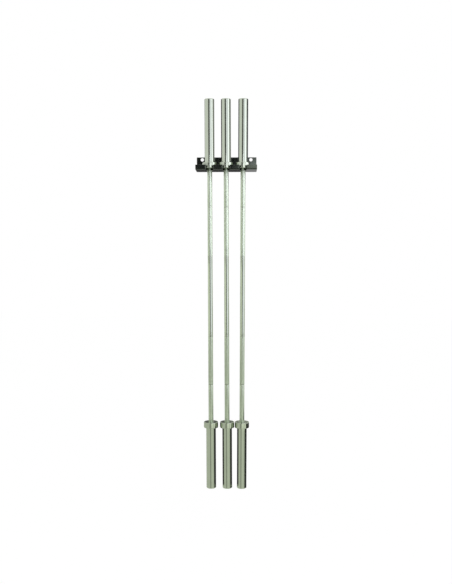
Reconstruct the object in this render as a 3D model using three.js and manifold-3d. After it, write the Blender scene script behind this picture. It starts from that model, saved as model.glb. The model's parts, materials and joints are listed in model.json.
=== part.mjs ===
// Wall rack that hangs three weightlifting bars upright by their upper collars.
// Millimetres, +Z up. The wall face is the plane y = 0, the rack stands out along -Y,
// and the origin is the middle of the line through the two wall bolt holes.
//
// The rack is one steel plate, bent twice: a flange against the wall, a shelf, and a front lip.
// Three slots run in from the front. A bar's shaft enters a slot and its collar rests on the
// shelf behind the lip, so the bar is lifted over the lip and drawn forward to take it out.

import * as THREE from "three";
import { mergeVertices } from "three/addons/utils/BufferGeometryUtils.js";
import Module from "manifold-3d";

const wasm = await Module();
wasm.setup();

// Bar, outside sizes
const grip_length = 1310;
const sleeve_length = 320;
const shaft_diameter = 25;
const sleeve_diameter = 50;
const collar_diameter = 74;
const collar_width = 30;
const collar_edge_radius = 2.5;
const sleeve_end_chamfer = 2.5;

// Bar, knurling marks on the shaft
const knurl_from_collar = 195;
const mark_width = 5;
const mark_depth = 0.4;

// Bar, inside a sleeve
const journal_diameter = 22;
const sleeve_bore_diameter = 31;
const bushing_length = 40;
const collar_web = 4;
const shaft_hole_clearance = 0.7;
const cap_thickness = 5;
const cap_recess = 0.5;
const cap_shoulder = 4;
const cap_edge_chamfer = 0.8;
const washer_thickness = 2;
const ring_thickness = 1.5;
const ring_groove_depth = 1;
const ring_section = 2.7;
const journal_end_margin = 4;
const journal_end_chamfer = 1;

// Rack plate
const plate_thickness = 6;
const bend_radius = 1.5;
const slot_width = 35;
const collar_spacing_gap = 11;
const end_tab_width = 53.5;
const bar_setback = 100;
const lip_clearance = 8;
const lip_rise = 14.5;
const flange_top_margin = 12.5;
const shelf_drop = 58;
const flange_corner_radius = 3;
const lip_corner_radius = 1.5;
const bolt_hole_diameter = 17.5;
const bolt_hole_inset = 29;

// Seat liners on the shelf
const liner_thickness = 3;
const liner_side_gap = 5;
const liner_margin = 2;
const liner_corner_radius = 6;

// Clearances between solids that touch on the real rack, and the overrun of every cut
const seat_gap = 0.3;
const running_gap = 0.3;
const cut_overrun = 2;

// Facets round a full turn
const outer_facets = 24;
const inner_facets = 16;
const slot_facets = 12;

// Each bar's place in its slot and its lean, as shares of the gap between neighbouring collars.
// The lower end of the first two drifts to +X and that of the third to -X, so that the lower
// collars of the second and third almost meet.
const bar_names = ["left", "middle", "right"];
const slot_offset_shares = [0, -0.09, 0.04];
const lean_drift_shares = [0.48, 0.48, -0.37];

// Worked out: bar
const shaft_radius = shaft_diameter / 2;
const sleeve_radius = sleeve_diameter / 2;
const collar_radius = collar_diameter / 2;
const journal_radius = journal_diameter / 2;
const sleeve_bore_radius = sleeve_bore_diameter / 2;
const end_length = collar_width + sleeve_length;
const cap_bottom = end_length - cap_recess - cap_thickness;
const cap_seat = cap_bottom - running_gap;
const cap_radius = sleeve_bore_radius + cap_shoulder;
const journal_end = cap_seat - journal_end_margin;
const groove_half = ring_thickness / 2 + running_gap;
const ring_middle = journal_end - journal_end_chamfer - groove_half - ring_thickness;
const washer_top = ring_middle - ring_thickness / 2 - running_gap;
const outer_bushing_top = washer_top - washer_thickness - running_gap;
const inner_bushing_bottom = collar_web + 2 * running_gap;

// Worked out: rack
const bar_pitch = collar_diameter + collar_spacing_gap;
const rack_width = 2 * bar_pitch + slot_width + 2 * end_tab_width;
const shelf_depth = bar_setback + collar_radius + lip_clearance + plate_thickness;
const shelf_top = -shelf_drop;
const liner_top = shelf_top + seat_gap + liner_thickness;
const largest_drift = collar_spacing_gap * Math.max(...lean_drift_shares.map(Math.abs));
const tilt_rise = (collar_radius * largest_drift) / grip_length;
const seat_height = liner_top + seat_gap + tilt_rise;
const lip_top = seat_height + lip_rise;
const flange_top = flange_top_margin;
const bolt_hole_x = rack_width / 2 - bolt_hole_inset;
const slot_radius = slot_width / 2;

const black_paint = new THREE.MeshStandardMaterial({ color: 0x161917, roughness: 0.42, metalness: 0.3 });
const liner_plastic = new THREE.MeshStandardMaterial({ color: 0x1d1f1e, roughness: 0.7, metalness: 0 });
const sleeve_chrome = new THREE.MeshStandardMaterial({ color: 0xd3d8d0, roughness: 0.14, metalness: 1 });
const shaft_chrome = new THREE.MeshStandardMaterial({ color: 0xc9cfc6, roughness: 0.32, metalness: 1 });
const bushing_bronze = new THREE.MeshStandardMaterial({ color: 0xa87a3d, roughness: 0.4, metalness: 1 });
const spring_steel = new THREE.MeshStandardMaterial({ color: 0x3f4348, roughness: 0.45, metalness: 1 });

// Axis maps for prisms: the first two vectors carry the outline, the third the length.
const side_view = new THREE.Matrix4().makeBasis(
  new THREE.Vector3(0, 1, 0),
  new THREE.Vector3(0, 0, 1),
  new THREE.Vector3(1, 0, 0),
);
const front_view = new THREE.Matrix4().makeBasis(
  new THREE.Vector3(1, 0, 0),
  new THREE.Vector3(0, 0, 1),
  new THREE.Vector3(0, -1, 0),
);

function prism(outline, length, view) {
  const geometry = new THREE.ExtrudeGeometry(outline, {
    depth: length,
    bevelEnabled: false,
    curveSegments: slot_facets,
  });
  if (view) {
    geometry.applyMatrix4(view);
  }
  return geometry;
}

function toSolid(geometry) {
  const bare = geometry.clone();
  bare.deleteAttribute("normal");
  bare.deleteAttribute("uv");
  const merged = mergeVertices(bare);
  const vertProperties = new Float32Array(merged.attributes.position.array);
  const triVerts = new Uint32Array(merged.index.array);
  return new wasm.Manifold(new wasm.Mesh({ numProp: 3, vertProperties, triVerts }));
}

function toGeometry(solid) {
  const mesh = solid.getMesh();
  const geometry = new THREE.BufferGeometry();
  geometry.setAttribute("position", new THREE.BufferAttribute(mesh.vertProperties, mesh.numProp));
  geometry.setIndex(new THREE.BufferAttribute(mesh.triVerts, 1));
  return geometry;
}

function cutAll(geometry, cutters) {
  const solid = cutters.reduce((left, cutter) => left.subtract(toSolid(cutter)), toSolid(geometry));
  return toGeometry(solid);
}

// A turned piece: the profile lists [radius, height] pairs, outside face upwards.
function turned(profile, facets, closed) {
  const points = profile.map(([radius, height]) => new THREE.Vector2(radius, height));
  if (closed) {
    points.push(points[0].clone());
  }
  const geometry = new THREE.LatheGeometry(points, facets);
  geometry.rotateX(Math.PI / 2);
  return geometry;
}

function named(name, geometry, material) {
  const mesh = new THREE.Mesh(geometry, material);
  mesh.name = name;
  return mesh;
}

// Rack plate

function bentPlateProfile() {
  const outer = bend_radius + plate_thickness;
  const underside = shelf_top - plate_thickness;
  const front = -shelf_depth;
  const profile = new THREE.Shape();
  profile.moveTo(0, flange_top);
  profile.lineTo(-plate_thickness, flange_top);
  profile.lineTo(-plate_thickness, shelf_top + bend_radius);
  profile.absarc(-outer, shelf_top + bend_radius, bend_radius, 0, -Math.PI / 2, true);
  profile.lineTo(front + outer, shelf_top);
  profile.absarc(front + outer, shelf_top + bend_radius, bend_radius, -Math.PI / 2, -Math.PI, true);
  profile.lineTo(front + plate_thickness, lip_top);
  profile.lineTo(front, lip_top);
  profile.lineTo(front, underside + outer);
  profile.absarc(front + outer, underside + outer, outer, Math.PI, 1.5 * Math.PI, false);
  profile.lineTo(-outer, underside);
  profile.absarc(-outer, underside + outer, outer, -Math.PI / 2, 0, false);
  profile.lineTo(0, flange_top);
  return profile;
}

function slotOutline(centre_x) {
  const mouth = -shelf_depth - cut_overrun;
  const outline = new THREE.Shape();
  outline.moveTo(centre_x - slot_radius, mouth);
  outline.lineTo(centre_x + slot_radius, mouth);
  outline.lineTo(centre_x + slot_radius, -bar_setback);
  outline.absarc(centre_x, -bar_setback, slot_radius, 0, Math.PI, false);
  outline.lineTo(centre_x - slot_radius, mouth);
  return outline;
}

// Prism along Y that rounds one upper corner; side is +1 where the material ends towards +X.
function cornerCutter(x, top, side, radius, near_y, far_y) {
  const outline = new THREE.Shape();
  const centre_x = x - side * radius;
  const centre_z = top - radius;
  outline.moveTo(centre_x, top + cut_overrun);
  outline.lineTo(centre_x, top);
  outline.absarc(centre_x, centre_z, radius, Math.PI / 2, side > 0 ? 0 : Math.PI, side > 0);
  outline.lineTo(x + side * cut_overrun, centre_z);
  outline.lineTo(x + side * cut_overrun, top + cut_overrun);
  outline.lineTo(centre_x, top + cut_overrun);
  const cutter = prism(outline, near_y - far_y, front_view);
  cutter.translate(0, near_y, 0);
  return cutter;
}

function rackBracket() {
  const plate = prism(bentPlateProfile(), rack_width, side_view);
  plate.translate(-rack_width / 2, 0, 0);

  const cutters = [];
  const slot_height = lip_top - shelf_top + plate_thickness + 2 * cut_overrun;
  const tab_ends = [[-rack_width / 2, -1], [rack_width / 2, 1]];
  for (const column of [-1, 0, 1]) {
    const slot_x = column * bar_pitch;
    const slot = prism(slotOutline(slot_x), slot_height);
    slot.translate(0, 0, shelf_top - plate_thickness - cut_overrun);
    cutters.push(slot);
    tab_ends.push([slot_x - slot_radius, 1], [slot_x + slot_radius, -1]);
  }
  for (const [x, side] of tab_ends) {
    const near = -shelf_depth + plate_thickness + cut_overrun;
    cutters.push(cornerCutter(x, lip_top, side, lip_corner_radius, near, -shelf_depth - cut_overrun));
  }
  for (const side of [-1, 1]) {
    const corner_x = (side * rack_width) / 2;
    const far = -plate_thickness - cut_overrun;
    cutters.push(cornerCutter(corner_x, flange_top, side, flange_corner_radius, cut_overrun, far));
    const hole_length = plate_thickness + 2 * cut_overrun;
    const hole_radius = bolt_hole_diameter / 2;
    const hole = new THREE.CylinderGeometry(hole_radius, hole_radius, hole_length, outer_facets);
    hole.translate(side * bolt_hole_x, -plate_thickness / 2, 0);
    cutters.push(hole);
  }
  return named("rack_bracket", cutAll(plate, cutters), black_paint);
}

// U-shaped pad round one slot, under the collar.
function seatLiner(name, centre_x) {
  const half_width = (bar_pitch - liner_side_gap) / 2;
  const front = -shelf_depth + plate_thickness + bend_radius + liner_margin;
  const back = -bar_setback + collar_radius + liner_margin;
  const corner = Math.min(liner_corner_radius, (half_width - slot_radius) / 2);
  const left = centre_x - half_width;
  const right = centre_x + half_width;
  const outline = new THREE.Shape();
  outline.moveTo(centre_x + slot_radius, front);
  outline.lineTo(right - corner, front);
  outline.absarc(right - corner, front + corner, corner, -Math.PI / 2, 0, false);
  outline.lineTo(right, back - corner);
  outline.absarc(right - corner, back - corner, corner, 0, Math.PI / 2, false);
  outline.lineTo(left + corner, back);
  outline.absarc(left + corner, back - corner, corner, Math.PI / 2, Math.PI, false);
  outline.lineTo(left, front + corner);
  outline.absarc(left + corner, front + corner, corner, Math.PI, 1.5 * Math.PI, false);
  outline.lineTo(centre_x - slot_radius, front);
  outline.lineTo(centre_x - slot_radius, -bar_setback);
  outline.absarc(centre_x, -bar_setback, slot_radius, Math.PI, 0, true);
  outline.lineTo(centre_x + slot_radius, front);
  const liner = prism(outline, liner_thickness);
  liner.translate(0, 0, shelf_top + seat_gap);
  return named(name, liner, liner_plastic);
}

// Bar pieces. Each is drawn for the upper end with its collar's inner face at height zero.

// Outline of the shaft from its upper collar's inner face outwards.
function journalProfile() {
  const shoulder = collar_web + running_gap;
  const groove_radius = journal_radius - ring_groove_depth;
  return [
    [shaft_radius, shoulder],
    [journal_radius, shoulder],
    [journal_radius, ring_middle - groove_half],
    [groove_radius, ring_middle - groove_half],
    [groove_radius, ring_middle + groove_half],
    [journal_radius, ring_middle + groove_half],
    [journal_radius, journal_end - journal_end_chamfer],
    [journal_radius - journal_end_chamfer, journal_end],
    [0, journal_end],
  ];
}

// One smooth ring mark in the knurling, measured down from the upper collar's inner face.
function markProfile(lower_edge) {
  const waist = shaft_radius - mark_depth;
  return [
    [shaft_radius, lower_edge],
    [waist, lower_edge],
    [waist, lower_edge + mark_width],
    [shaft_radius, lower_edge + mark_width],
  ];
}

function barShaft(name) {
  const upper_end = journalProfile();
  const mirrored = upper_end.map(([radius, height]) => [radius, -grip_length - height]);
  const marks = [
    ...markProfile(-grip_length + knurl_from_collar),
    ...markProfile(-knurl_from_collar - mark_width),
  ];
  const profile = [...mirrored.reverse(), ...marks, ...upper_end];
  return named(name, turned(profile, outer_facets, false), shaft_chrome);
}

function sleeveTube(name) {
  const foot = collar_web + running_gap;
  const recess_radius = cap_radius + running_gap;
  const profile = [
    [sleeve_bore_radius, foot],
    [sleeve_radius, foot],
    [sleeve_radius, end_length - sleeve_end_chamfer],
    [sleeve_radius - sleeve_end_chamfer, end_length],
    [recess_radius, end_length],
    [recess_radius, cap_seat],
    [sleeve_bore_radius, cap_seat],
  ];
  return named(name, turned(profile, outer_facets, true), sleeve_chrome);
}

function collarRing(name) {
  const edge = collar_edge_radius;
  const bevel = edge * (1 - Math.SQRT1_2);
  const shaft_hole = shaft_radius + shaft_hole_clearance;
  const sleeve_hole = sleeve_radius + running_gap;
  const profile = [
    [shaft_hole, 0],
    [collar_radius - edge, 0],
    [collar_radius - bevel, bevel],
    [collar_radius, edge],
    [collar_radius, collar_width - edge],
    [collar_radius - bevel, collar_width - bevel],
    [collar_radius - edge, collar_width],
    [sleeve_hole, collar_width],
    [sleeve_hole, collar_web],
    [shaft_hole, collar_web],
  ];
  return named(name, turned(profile, outer_facets, true), sleeve_chrome);
}

function ringPiece(name, inner_radius, outer_radius, bottom, height, material) {
  const profile = [
    [inner_radius, bottom],
    [outer_radius, bottom],
    [outer_radius, bottom + height],
    [inner_radius, bottom + height],
  ];
  return named(name, turned(profile, inner_facets, true), material);
}

function retainingRing(name) {
  const inner_radius = journal_radius - ring_groove_depth + running_gap;
  const outer_radius = inner_radius + ring_section;
  const start = Math.PI / inner_facets;
  const finish = 2 * Math.PI - start;
  const outline = new THREE.Shape();
  outline.absarc(0, 0, outer_radius, start, finish, false);
  outline.absarc(0, 0, inner_radius, finish, start, true);
  const ring = prism(outline, ring_thickness);
  ring.translate(0, 0, ring_middle - ring_thickness / 2);
  return named(name, ring, spring_steel);
}

function endCap(name) {
  const profile = [
    [0, cap_bottom],
    [cap_radius, cap_bottom],
    [cap_radius, cap_bottom + cap_thickness - cap_edge_chamfer],
    [cap_radius - cap_edge_chamfer, cap_bottom + cap_thickness],
    [0, cap_bottom + cap_thickness],
  ];
  return named(name, turned(profile, outer_facets, false), sleeve_chrome);
}

// Everything that turns about or locks onto one end of the shaft.
function barEnd(prefix) {
  const bearing_radius = journal_radius + running_gap;
  const seat_radius = sleeve_bore_radius - running_gap;
  const outer_bushing_bottom = outer_bushing_top - bushing_length;
  const washer_bottom = washer_top - washer_thickness;
  const bushing = (name, bottom) =>
    ringPiece(name, bearing_radius, seat_radius, bottom, bushing_length, bushing_bronze);
  const washer = ringPiece(
    `${prefix}_thrust_washer`,
    bearing_radius,
    seat_radius,
    washer_bottom,
    washer_thickness,
    spring_steel,
  );
  const end = new THREE.Group();
  end.add(
    sleeveTube(`${prefix}_sleeve`),
    collarRing(`${prefix}_collar`),
    bushing(`${prefix}_inner_bushing`, inner_bushing_bottom),
    bushing(`${prefix}_outer_bushing`, outer_bushing_bottom),
    washer,
    retainingRing(`${prefix}_retaining_ring`),
    endCap(`${prefix}_end_cap`),
  );
  return end;
}

function hangingBar(index) {
  const prefix = `bar_${bar_names[index]}`;
  const lower_end = barEnd(`${prefix}_lower`);
  lower_end.rotation.x = Math.PI;
  lower_end.position.z = -grip_length;

  const bar = new THREE.Group();
  bar.add(barShaft(`${prefix}_shaft`), barEnd(`${prefix}_upper`), lower_end);

  const slot_x = (index - 1) * bar_pitch;
  bar.position.x = slot_x + slot_offset_shares[index] * collar_spacing_gap;
  bar.position.y = -bar_setback;
  bar.position.z = seat_height;
  bar.rotation.y = -Math.asin((lean_drift_shares[index] * collar_spacing_gap) / grip_length);
  return bar;
}

const rack = new THREE.Group();
rack.add(rackBracket());
bar_names.forEach((name, index) => {
  rack.add(seatLiner(`seat_liner_${name}`, (index - 1) * bar_pitch));
  rack.add(hangingBar(index));
});

export default rack;
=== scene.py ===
# %% [markdown]
# # A wall rack with three hanging bars
#
# This lesson dresses a measured model in Blender. The real object is a small black bracket of
# bent plate, screwed to a wall. Three chrome weightlifting bars hang in its slots by their upper
# collars, so nearly everything that shows is turned, chromed steel.
#
# The measured model comes first. It could be drawn again here, but then two sets of sizes would
# drift apart, so it is loaded as a fixed frame and every piece of this lesson is fitted to it.
# Sizes in this lesson are in millimetres, and places in the scene are in metres.

# %% Load the measured rack and bars
import json
import math

import bmesh
import bpy
from mathutils import Matrix, Vector


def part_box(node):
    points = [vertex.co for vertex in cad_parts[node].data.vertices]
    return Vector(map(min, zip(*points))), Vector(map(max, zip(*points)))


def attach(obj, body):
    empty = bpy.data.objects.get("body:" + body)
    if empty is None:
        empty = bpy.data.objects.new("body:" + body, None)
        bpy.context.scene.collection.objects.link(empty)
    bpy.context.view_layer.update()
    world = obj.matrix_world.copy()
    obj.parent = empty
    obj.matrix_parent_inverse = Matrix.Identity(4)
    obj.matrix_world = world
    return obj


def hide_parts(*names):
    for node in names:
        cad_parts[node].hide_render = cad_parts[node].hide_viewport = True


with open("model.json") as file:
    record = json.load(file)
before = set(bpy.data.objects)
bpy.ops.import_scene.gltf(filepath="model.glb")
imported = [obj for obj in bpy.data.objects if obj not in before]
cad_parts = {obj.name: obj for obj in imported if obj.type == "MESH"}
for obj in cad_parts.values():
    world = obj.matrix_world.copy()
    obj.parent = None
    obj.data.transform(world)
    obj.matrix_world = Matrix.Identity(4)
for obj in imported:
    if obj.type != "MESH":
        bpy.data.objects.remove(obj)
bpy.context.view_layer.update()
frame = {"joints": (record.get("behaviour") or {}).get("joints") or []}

MM = 0.001

# %% [markdown]
# ## The camera
#
# The photograph was taken from about four metres away, a little below the rack, with the camera
# tilted slightly down. Placing a camera by eye never quite matches, so this one was worked out
# from the bars: their ring marks and collars have known spacings, and the place below is the one
# from which those spacings fall where the photograph shows them.
#
# The photograph is taller than wide. With Blender's automatic sensor fit the sensor size belongs
# to the longer side, so the lens is the focal length in pixels, shared over that side.

# %% Set up the camera
PHOTO_HEIGHT = 584
FOCAL_PIXELS = 764.0
SENSOR_SIZE = 36.0
FARTHEST_SEEN = 60.0
CAMERA_PLACE = (0.0685, -4.035, -0.44125)
CAMERA_TILT_DOWN = math.radians(3.57)
CAMERA_TURN_LEFT = math.radians(1.02)

camera_data = bpy.data.cameras.new("photo_camera")
camera_data.sensor_fit = "AUTO"
camera_data.sensor_width = SENSOR_SIZE
camera_data.lens = FOCAL_PIXELS * SENSOR_SIZE / PHOTO_HEIGHT
camera_data.clip_end = FARTHEST_SEEN
camera = bpy.data.objects.new("photo_camera", camera_data)
camera.location = CAMERA_PLACE
camera.rotation_euler = (math.radians(90) - CAMERA_TILT_DOWN, 0.0, CAMERA_TURN_LEFT)
bpy.context.scene.collection.objects.link(camera)
bpy.context.scene.camera = camera
bpy.context.scene.view_settings.view_transform = "Standard"
print("camera at", CAMERA_PLACE, "with a lens of %.2f mm" % camera_data.lens)

# %% [markdown]
# ## Small tools for wiring materials
#
# A Blender material is a network of nodes. Each can be added in three lines, but a rack with
# seven finishes needs a hundred of them, so short helpers do it. The first adds any node and
# fills its sockets, with numbers or with other nodes' outputs. The others add what is needed most
# often: a step of arithmetic, a weighted sum, a soft step, a colour between two, a noise.

# %% Wire one node
def wire(tree, kind, sockets=None, **settings):
    """Adds a node; sockets maps an input's name or number to a value or another output."""
    made = tree.nodes.new("ShaderNode" + kind)
    for setting, value in settings.items():
        setattr(made, setting, value)
    for socket, value in (sockets or {}).items():
        if isinstance(value, bpy.types.NodeSocket):
            tree.links.new(value, made.inputs[socket])
        else:
            made.inputs[socket].default_value = value
    return made


def reckon(tree, operation, first, second=0.0, third=0.0):
    """One step of arithmetic on values that change over the surface."""
    sockets = {0: first, 1: second, 2: third}
    return wire(tree, "Math", sockets, operation=operation).outputs[0]


def weighted_sum(tree, total, *parts):
    """A start value, and each part's value times its weight."""
    for value, weight in parts:
        total = reckon(tree, "MULTIPLY_ADD", value, weight, total)
    return total


def per(tree, size):
    """How often a size goes into a metre."""
    return reckon(tree, "DIVIDE", 1.0, size)


def fade(tree, value, low, high):
    """A soft step, from 0 at low to 1 at high; low may be the greater of the two."""
    sockets = {"Value": value, "From Min": low, "From Max": high}
    return wire(tree, "MapRange", sockets, interpolation_type="SMOOTHSTEP").outputs["Result"]


def tint(tree, share, plain, changed):
    """A colour between two others; either may be a constant or an output."""
    return wire(tree, "Mix", {0: share, 6: plain, 7: changed}, data_type="RGBA").outputs[2]


def own_place(tree):
    """Where a spot is, in the coordinates of its piece."""
    return wire(tree, "TexCoord").outputs["Object"]


def noise(tree, place, scale, detail, **settings):
    """Random hills, about as many to a metre as scale says."""
    sockets = {"Vector": place, "Scale": scale, "Detail": detail}
    return wire(tree, "TexNoise", sockets, **settings).outputs[0]


print("wiring helpers ready")

# %% [markdown]
# Effects that several finishes share are node groups: small networks with named inputs and
# outputs. A group could hand out a finished surface, but other programs look for the surface
# shader in the material itself. So each group here only gives heights and masks, and each
# material keeps its own shader.

# %% Start an effect group
VALUE_SOCKET = "NodeSocketFloat"


def effect(name, inputs, outputs):
    """An empty node group: inputs are (name, default) pairs, outputs are names of values."""
    group = bpy.data.node_groups.new(name, "ShaderNodeTree")
    for label, default in inputs:
        socket = group.interface.new_socket(name=label, in_out="INPUT", socket_type=VALUE_SOCKET)
        socket.default_value = default
    for label in outputs:
        group.interface.new_socket(name=label, in_out="OUTPUT", socket_type=VALUE_SOCKET)
    return group, group.nodes.new("NodeGroupInput").outputs, group.nodes.new("NodeGroupOutput")


def finish_effect(group, way_out, **results):
    for label, output in results.items():
        group.links.new(output, way_out.inputs[label])
    print("effect", group.name, "with", len(group.nodes), "nodes")


def apply_effect(tree, group, **values):
    """Places a group in a material; an underscore in a keyword stands for a space."""
    placed = tree.nodes.new("ShaderNodeGroup")
    placed.node_tree = group
    for label, value in values.items():
        placed.inputs[label.replace("_", " ")].default_value = value
    return placed.outputs


# %% [markdown]
# ### Orange peel
#
# Powder coat melts into a skin that is never flat: it has soft hills a millimetre or two apart,
# named after the skin of an orange. A picture of such a skin could be laid on, but it would
# need unwrapping and would repeat. Two sizes of noise in the piece's own coordinates never do.

# %% Orange peel effect
PATCHES_PER_METRE = 24.0
peel, peel_in, peel_out = effect(
    "Orange peel", [("Hill size", 0.0018), ("Grain size", 0.0004)], ["Height", "Tone"]
)
place = own_place(peel)
hills = noise(peel, place, per(peel, peel_in["Hill size"]), 1.0)
grains = noise(peel, place, per(peel, peel_in["Grain size"]), 2.0)
tone = fade(peel, noise(peel, place, PATCHES_PER_METRE, 3.0), 0.3, 0.7)
finish_effect(peel, peel_out, Height=weighted_sum(peel, hills, (grains, 0.25)), Tone=tone)

# %% [markdown]
# ### Rubbed edges
#
# Bars knock against the rack, and the paint first goes where the plate turns a corner. Painting
# that by hand is slow. Instead the Bevel node asks what the normal would be if all edges were
# rounder, and where that differs from the real normal there is an edge. Noise then breaks the
# line up, because paint chips in places and not evenly.

# %% Rubbed edges effect
NORMALS_AGREE, NORMALS_DIFFER = 0.985, 0.86
rubbed, rubbed_in, rubbed_out = effect(
    "Rubbed edges", [("Reach", 0.002), ("Chip size", 0.006), ("Spread", 0.5)], ["Wear"]
)
rounder = wire(rubbed, "Bevel", {"Radius": rubbed_in["Reach"]}, samples=6).outputs[0]
normal = wire(rubbed, "NewGeometry").outputs["Normal"]
agreement = wire(rubbed, "VectorMath", {0: rounder, 1: normal}, operation="DOT_PRODUCT")
edge = fade(rubbed, agreement.outputs["Value"], NORMALS_AGREE, NORMALS_DIFFER)
chips = noise(rubbed, own_place(rubbed), per(rubbed, rubbed_in["Chip size"]), 5.0)
threshold = reckon(rubbed, "SUBTRACT", 1.0, rubbed_in["Spread"])
chipped = fade(rubbed, chips, threshold, reckon(rubbed, "ADD", threshold, 0.12))
finish_effect(rubbed, rubbed_out, Wear=reckon(rubbed, "MULTIPLY", edge, chipped))

# %% [markdown]
# ### Turning lines
#
# Sleeves, collars and shafts are turned on a lathe and polished before they are chromed, which
# leaves faint rings round the bar and faint circles on its end faces. The rings depend only on
# the height along the bar and on the distance from its axis, so one noise reads just those two
# numbers and is the same all the way round.

# %% Turning lines effect
CLOUDS_PER_METRE = 18.0
lathe, lathe_in, lathe_out = effect("Turning lines", [("Line spacing", 0.0008)], ["Height", "Haze"])
place = own_place(lathe)
split = wire(lathe, "SeparateXYZ", {0: place}).outputs
flat_place = wire(lathe, "CombineXYZ", {0: split[0], 1: split[1]}).outputs[0]
radius = wire(lathe, "VectorMath", {0: flat_place}, operation="LENGTH").outputs["Value"]
ring_place = wire(lathe, "CombineXYZ", {0: radius, 1: split[2]}).outputs[0]
rings = noise(lathe, ring_place, per(lathe, lathe_in["Line spacing"]), 2.0, noise_dimensions="2D")
haze = fade(lathe, noise(lathe, place, CLOUDS_PER_METRE, 4.0), 0.35, 0.72)
finish_effect(lathe, lathe_out, Height=rings, Haze=haze)

# %% [markdown]
# ### Plate scuffs
#
# Weight plates are pushed onto a sleeve with a slight twist and leave fine scratches that run
# mostly along it. Stretching the coordinates along the bar turns round noise cells into long
# thin ones, and keeping only the thin band around one noise level leaves single scratches.

# %% Plate scuffs effect
TWIST = 0.11
SCRATCH_BAND = 0.03
SCUFFED_SPOTS_PER_METRE = 14.0
scuffs, scuffs_in, scuffs_out = effect(
    "Plate scuffs", [("Length", 0.05), ("Width", 0.0012), ("Amount", 0.5)], ["Scratch"]
)
place = own_place(scuffs)
turned = wire(scuffs, "VectorRotate", {"Vector": place, "Angle": TWIST}, rotation_type="Y_AXIS")
across, along = per(scuffs, scuffs_in["Width"]), per(scuffs, scuffs_in["Length"])
stretch = wire(scuffs, "CombineXYZ", {0: across, 1: across, 2: along})
factors = {0: turned.outputs[0], 1: stretch.outputs[0]}
streak_place = wire(scuffs, "VectorMath", factors, operation="MULTIPLY").outputs[0]
streaks = noise(scuffs, streak_place, 1.0, 1.0)
away = reckon(scuffs, "ABSOLUTE", reckon(scuffs, "SUBTRACT", streaks, 0.5))
line = fade(scuffs, away, SCRATCH_BAND, 0.0)
limit = reckon(scuffs, "SUBTRACT", 1.0, scuffs_in["Amount"])
spots = noise(scuffs, place, SCUFFED_SPOTS_PER_METRE, 2.0)
there = fade(scuffs, spots, limit, reckon(scuffs, "ADD", limit, 0.15))
finish_effect(scuffs, scuffs_out, Scratch=reckon(scuffs, "MULTIPLY", line, there))

# %% [markdown]
# ### Diamond knurl
#
# The grip is rolled between two wheels whose slanted teeth cut crossing grooves, and what is
# left between them is a field of small pyramids. Real pyramids would be a mesh of millions of
# faces, too fine to see from a metre away, so they are a height instead. The angle round the bar
# and the height along it, added and subtracted, give the two sets of grooves, and the lower of
# the two ridges at each spot is the pyramid.

# %% Diamond knurl effect
knurl, knurl_in, knurl_out = effect(
    "Diamond knurl", [("Teeth around", 65.0), ("Pitch along", 0.0021)], ["Height", "Tips"]
)
split = wire(knurl, "SeparateXYZ", {0: own_place(knurl)}).outputs
turns = reckon(knurl, "DIVIDE", reckon(knurl, "ARCTAN2", split[1], split[0]), 2 * math.pi)
around = reckon(knurl, "MULTIPLY", turns, knurl_in["Teeth around"])
rise = reckon(knurl, "DIVIDE", split[2], knurl_in["Pitch along"])
ridges = [
    reckon(knurl, "PINGPONG", reckon(knurl, step, around, rise), 0.5) for step in ("ADD", "SUBTRACT")
]
pyramid = reckon(knurl, "MULTIPLY", reckon(knurl, "MINIMUM", *ridges), 2.0)
finish_effect(knurl, knurl_out, Height=pyramid, Tips=fade(knurl, pyramid, 0.55, 0.95))

# %% [markdown]
# ### Settled dust
#
# A gym rack gathers dust and chalk on whatever faces up. The normal's vertical part says how
# much a spot faces up, and noise makes the layer uneven.

# %% Settled dust effect
DUST_SLIDES_OFF, DUST_STAYS = 0.55, 0.98
dust, dust_in, dust_out = effect("Settled dust", [("Cloud size", 0.02)], ["Cover"])
normal = wire(dust, "NewGeometry").outputs["Normal"]
upright = wire(dust, "SeparateXYZ", {0: normal}).outputs[2]
upward = fade(dust, upright, DUST_SLIDES_OFF, DUST_STAYS)
drifts = fade(dust, noise(dust, own_place(dust), per(dust, dust_in["Cloud size"]), 6.0), 0.25, 0.8)
finish_effect(dust, dust_out, Cover=reckon(dust, "MULTIPLY", upward, drifts))

# %% [markdown]
# ## The finishes
#
# Every finish starts the same way: a fresh material with Blender's all-round surface shader.
# Numbers that are the same all over the surface are typed straight into the shader's sockets,
# because other programs can read them there. Only what changes over the surface is wired.

# %% Start a finish
def new_finish(name, **constants):
    """A material and its surface shader; constants are shader sockets, _ stands for a space."""
    material = bpy.data.materials.new(name)
    material.use_nodes = True
    surface = material.node_tree.nodes["Principled BSDF"]
    for label, value in constants.items():
        surface.inputs[label.replace("_", " ")].default_value = value
    return material, material.node_tree, surface


def drive(tree, shader, **outputs):
    """Wires what changes over the surface into a shader's sockets; _ stands for a space."""
    for label, output in outputs.items():
        tree.links.new(output, shader.inputs[label.replace("_", " ")])


def layered(tree, colour, *layers):
    """Lays others over a colour; a layer is a mask, the share that it reaches, and a colour."""
    for mask, share, laid_over in layers:
        colour = tint(tree, reckon(tree, "MULTIPLY", mask, share), colour, laid_over)
    return colour


def embossed(tree, height, depth):
    """The normal, tilted by a height that changes over the surface; depth is in metres."""
    return wire(tree, "Bump", {"Height": height, "Distance": depth}).outputs[0]


print("finish helpers ready")

# %% [markdown]
# ### Black powder coat
#
# The rack is coated in semi-gloss black. In the photograph its front faces are nearly black
# where they mirror a dark part of the room, and a flat mid grey where they mirror a bright
# panel, so the coat is dark but its mirror reflection is strong. The specular level is raised
# for that, and the roughness kept low enough for the grey to end in a line.

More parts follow.
